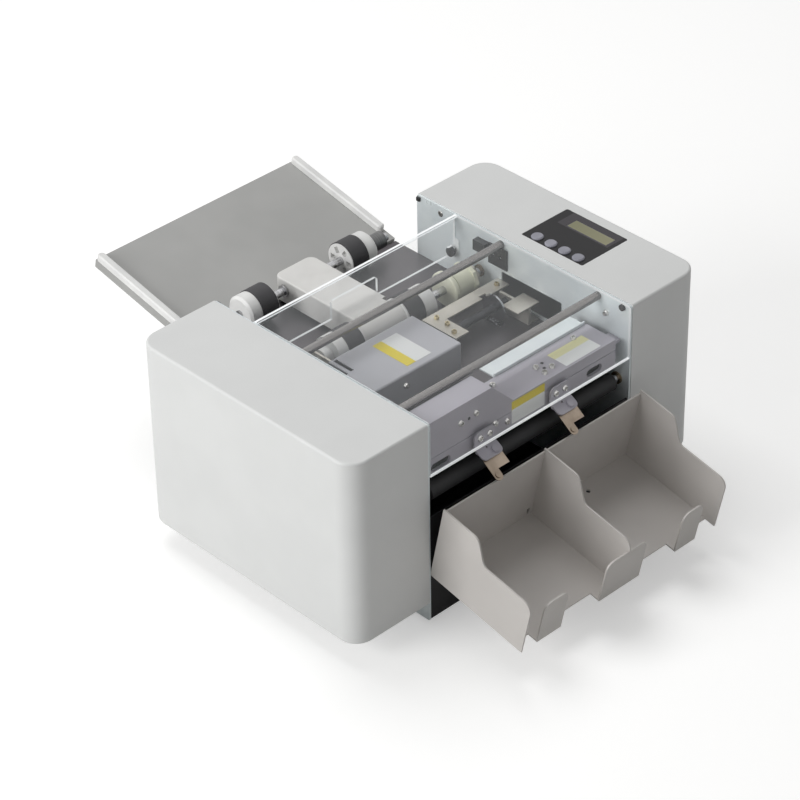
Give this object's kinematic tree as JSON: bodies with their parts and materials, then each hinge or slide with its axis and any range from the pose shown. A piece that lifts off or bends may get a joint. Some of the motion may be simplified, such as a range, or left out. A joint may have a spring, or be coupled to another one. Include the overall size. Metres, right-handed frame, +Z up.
{
  "type": "business card cutter",
  "caption": "Desktop business card cutter: rear sheet tray and feed rollers, slitter blades and a cross-cut blade under a clear lid, and a twin-bay tray that catches the cards.",
  "frame": {"origin": "on the table under the middle of the machine's overall box", "axes": "+X to the right seen from the card tray, +Y to the rear, where the sheets go in, +Z up"},
  "size_m": [0.44, 0.5692, 0.2218],
  "materials": {
    "white_shell": "fine textured paint, off-white",
    "tray_paint": "satin paint, off-white",
    "black_paint": "satin black paint",
    "zinc": "zinc-plated sheet",
    "steel": "ground steel",
    "dark_steel": "blackened steel",
    "brass": "plain brass",
    "screw_zinc": "bright zinc plating",
    "bronze": "dull bronze",
    "rubber": "matt black",
    "white_plastic": "moulded, white",
    "cream_plastic": "moulded, cream",
    "grey_plastic": "grey",
    "lilac_paint": "satin paint, lilac grey",
    "black_plastic": "moulded, black",
    "key_plastic": "moulded, lilac-grey",
    "panel_film": "plain film, near black",
    "lcd": "dark display window",
    "board": "circuit board",
    "clear": "clear acrylic"
  },
  "bodies": {
    "chassis": {"base_pan": "black_paint", "rubber_feet": "rubber", "left_side_plate": "zinc", "right_side_plate": "zinc", "shaft_bushes": "bronze", "left_housing": "white_shell", "right_housing": "white_shell", "tie_rods": "steel", "corner_caps": "black_plastic", "mains_inlet": "black_plastic", "control_panel": "panel_film", "lcd_window": "lcd", "control_board": "board", "paper_deck": "zinc", "feed_tray": "grey_plastic", "feed_tray_rails": "white_plastic", "tray_gussets": "zinc", "slitter_cover": "grey_plastic", "slitter_bridge": "zinc", "bridge_screws": "brass", "slitter_bracket": "zinc", "mid_shaft_brackets": "dark_steel", "cutter_frame": "lilac_paint", "cutter_guide_plate": "zinc", "anvil_blade": "steel", "exit_guide": "zinc", "presser_plates": "zinc", "pan_screws": "screw_zinc", "pivot_knobs": "black_plastic", "limit_switch": "black_plastic", "main_motor": "black_plastic", "feed_motor": "black_plastic"},
    "cover": {"cover": "clear"},
    "feed_arm": {"feed_arm": "white_plastic", "feed_belt": "rubber"},
    "rear_feed": {"rear_feed_shaft": "steel", "rear_feed_collar": "dark_steel", "rear_feed_hubs": "white_plastic", "rear_feed_tyres": "rubber"},
    "mid_feed": {"mid_feed_shaft": "steel", "mid_feed_hubs": "white_plastic", "mid_feed_tyres": "rubber", "clutch_disc": "cream_plastic", "clutch_drum": "cream_plastic"},
    "upper_slitter": {"upper_slit_shaft": "steel", "upper_slit_blades": "steel"},
    "lower_slitter": {"lower_slit_shaft": "steel", "lower_slit_blades": "steel"},
    "crank": {"crank_shaft": "steel"},
    "cutting_blade": {"blade_carrier": "dark_steel", "moving_blade": "steel"},
    "exit_rollers": {"exit_roller_shaft": "steel", "exit_roller": "rubber"},
    "leaf_left": {"leaf_left": "bronze"},
    "leaf_right": {"leaf_right": "bronze"},
    "button_1": {"button_1": "key_plastic"},
    "button_2": {"button_2": "key_plastic"},
    "button_3": {"button_3": "key_plastic"},
    "button_4": {"button_4": "key_plastic"},
    "catch_tray": {"catch_tray": "tray_paint"}
  },
  "joints": [
    {"name": "cover_hinge", "type": "hinge", "parent": "chassis", "child": "cover", "pos_m": [0, 0.06066, 0.18], "axis": [-1, 0, 0], "range_deg": [0, 55]},
    {"name": "feed_arm_lift", "type": "hinge", "parent": "chassis", "child": "feed_arm", "pos_m": [0, 0.02766, 0.1715], "axis": [1, 0, 0], "range_deg": [0, 6]},
    {"name": "mid_feed_spin", "type": "hinge", "parent": "chassis", "child": "mid_feed", "pos_m": [0, 0.02766, 0.1715], "axis": [1, 0, 0], "continuous": true},
    {"name": "rear_feed_spin", "type": "hinge", "parent": "feed_arm", "child": "rear_feed", "pos_m": [0, 0.13316, 0.1715], "axis": [1, 0, 0], "continuous": true},
    {"name": "lower_slitter_spin", "type": "hinge", "parent": "chassis", "child": "lower_slitter", "pos_m": [0, -0.02184, 0.14], "axis": [1, 0, 0], "continuous": true},
    {"name": "upper_slitter_spin", "type": "hinge", "parent": "chassis", "child": "upper_slitter", "pos_m": [0, -0.02184, 0.167], "axis": [1, 0, 0], "continuous": true},
    {"name": "exit_spin", "type": "hinge", "parent": "chassis", "child": "exit_rollers", "pos_m": [0, -0.14884, 0.135], "axis": [1, 0, 0], "continuous": true},
    {"name": "crank_turn", "type": "hinge", "parent": "chassis", "child": "crank", "pos_m": [0, -0.12784, 0.1675], "axis": [1, 0, 0], "range_deg": [0, 180]},
    {"name": "blade_slide", "type": "slide", "parent": "chassis", "child": "cutting_blade", "axis": [0, 0, -1], "range_m": [0, 0.006]},
    {"name": "leaf_left_hinge", "type": "hinge", "parent": "chassis", "child": "leaf_left", "pos_m": [-0.0554, -0.16034, 0.1555], "axis": [-1, 0, 0], "range_deg": [0, 6], "stiffness_Nm_per_rad": 0.01, "springref_deg": -2.86},
    {"name": "leaf_right_hinge", "type": "hinge", "parent": "chassis", "child": "leaf_right", "pos_m": [0.0404, -0.16034, 0.1555], "axis": [-1, 0, 0], "range_deg": [0, 6], "stiffness_Nm_per_rad": 0.01, "springref_deg": -2.86},
    {"name": "catch_tray_lift", "type": "slide", "parent": "chassis", "child": "catch_tray", "axis": [0, 0, 1], "range_m": [0, 0.007]},
    {"name": "button_1_press", "type": "slide", "parent": "chassis", "child": "button_1", "axis": [0, 0, -1], "range_m": [0, 0.0012], "stiffness_N_per_m": 500, "springref_m": -0.0006},
    {"name": "button_2_press", "type": "slide", "parent": "chassis", "child": "button_2", "axis": [0, 0, -1], "range_m": [0, 0.0012], "stiffness_N_per_m": 500, "springref_m": -0.0006},
    {"name": "button_3_press", "type": "slide", "parent": "chassis", "child": "button_3", "axis": [0, 0, -1], "range_m": [0, 0.0012], "stiffness_N_per_m": 500, "springref_m": -0.0006},
    {"name": "button_4_press", "type": "slide", "parent": "chassis", "child": "button_4", "axis": [0, 0, -1], "range_m": [0, 0.0012], "stiffness_N_per_m": 500, "springref_m": -0.0006}
  ],
  "couplings": [
    {"joint": "rear_feed_spin", "follows": "mid_feed_spin", "ratio": 1},
    {"joint": "upper_slitter_spin", "follows": "lower_slitter_spin", "ratio": -1},
    {"joint": "exit_spin", "follows": "lower_slitter_spin", "ratio": 1.6471},
    {"joint": "crank_turn", "follows": "blade_slide", "rad_per_m": 523.6}
  ]
}
